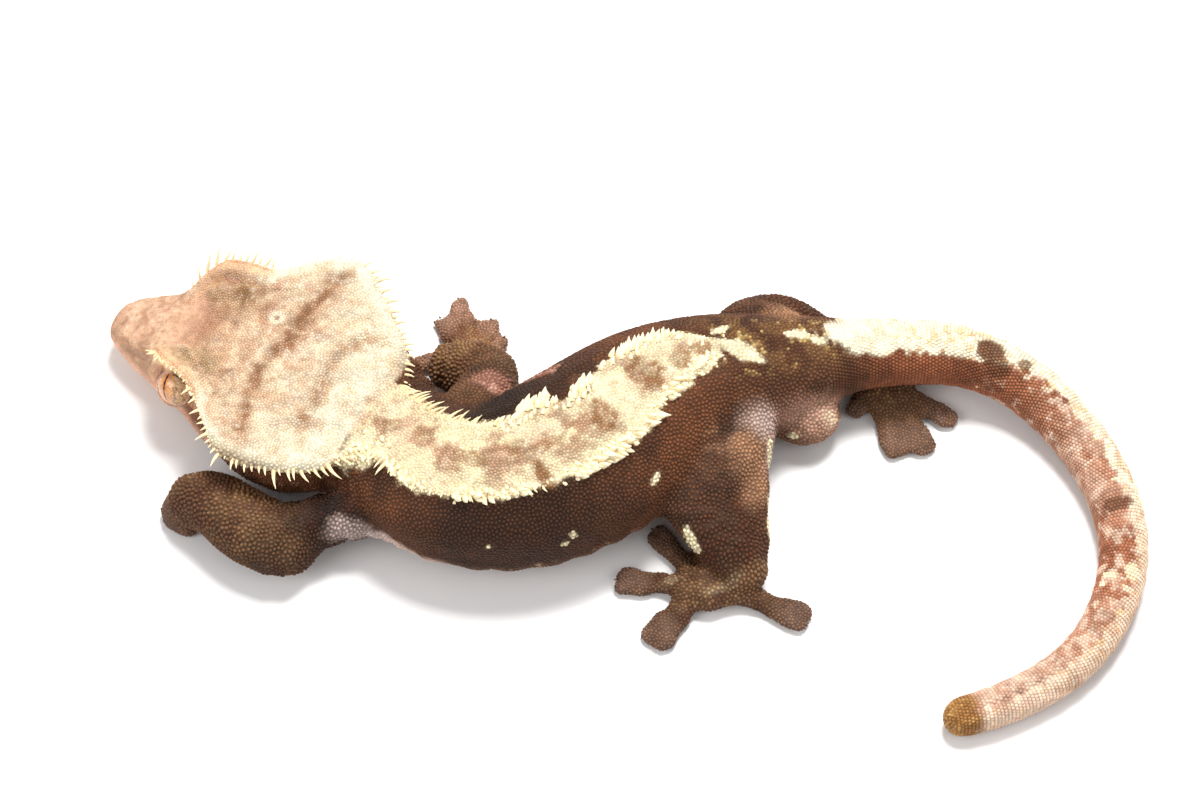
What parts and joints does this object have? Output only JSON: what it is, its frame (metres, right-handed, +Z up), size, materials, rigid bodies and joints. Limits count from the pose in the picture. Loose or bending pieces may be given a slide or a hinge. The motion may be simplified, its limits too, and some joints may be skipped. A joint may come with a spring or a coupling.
{
  "type": "crested gecko model",
  "caption": "Life-size still model of a crested gecko lying with its head turned, a fringe of soft spines over each eye to the shoulders, and its blunt tail curled round.",
  "frame": {"origin": "middle of the bounding box at floor level", "axes": "+Z up, +X from the head towards the tail side, +Y to the animal's right flank"},
  "size_m": [0.142, 0.0682, 0.0201],
  "materials": {
    "head_skin": "fine matte scales",
    "body_skin": "fine matte scales",
    "tail_skin": "fine matte scales in rings",
    "limb_skin": "small round matte scales",
    "eye": "wet gloss"
  },
  "bodies": {
    "root": {"head": "head_skin", "neck": "head_skin", "trunk_front": "body_skin", "trunk_rear": "body_skin", "hips": "body_skin", "tail_base": "tail_skin", "tail_middle": "tail_skin", "tail_rear": "tail_skin", "tail_end": "tail_skin", "eye_left": "eye", "eye_right": "eye", "upper_arm_left": "limb_skin", "forearm_left": "limb_skin", "hand_left": "limb_skin", "upper_arm_right": "limb_skin", "forearm_right": "limb_skin", "hand_right": "limb_skin", "thigh_left": "limb_skin", "shank_left": "limb_skin", "foot_left": "limb_skin", "thigh_right": "limb_skin", "shank_right": "limb_skin", "foot_right": "limb_skin"}
  },
  "joints": []
}
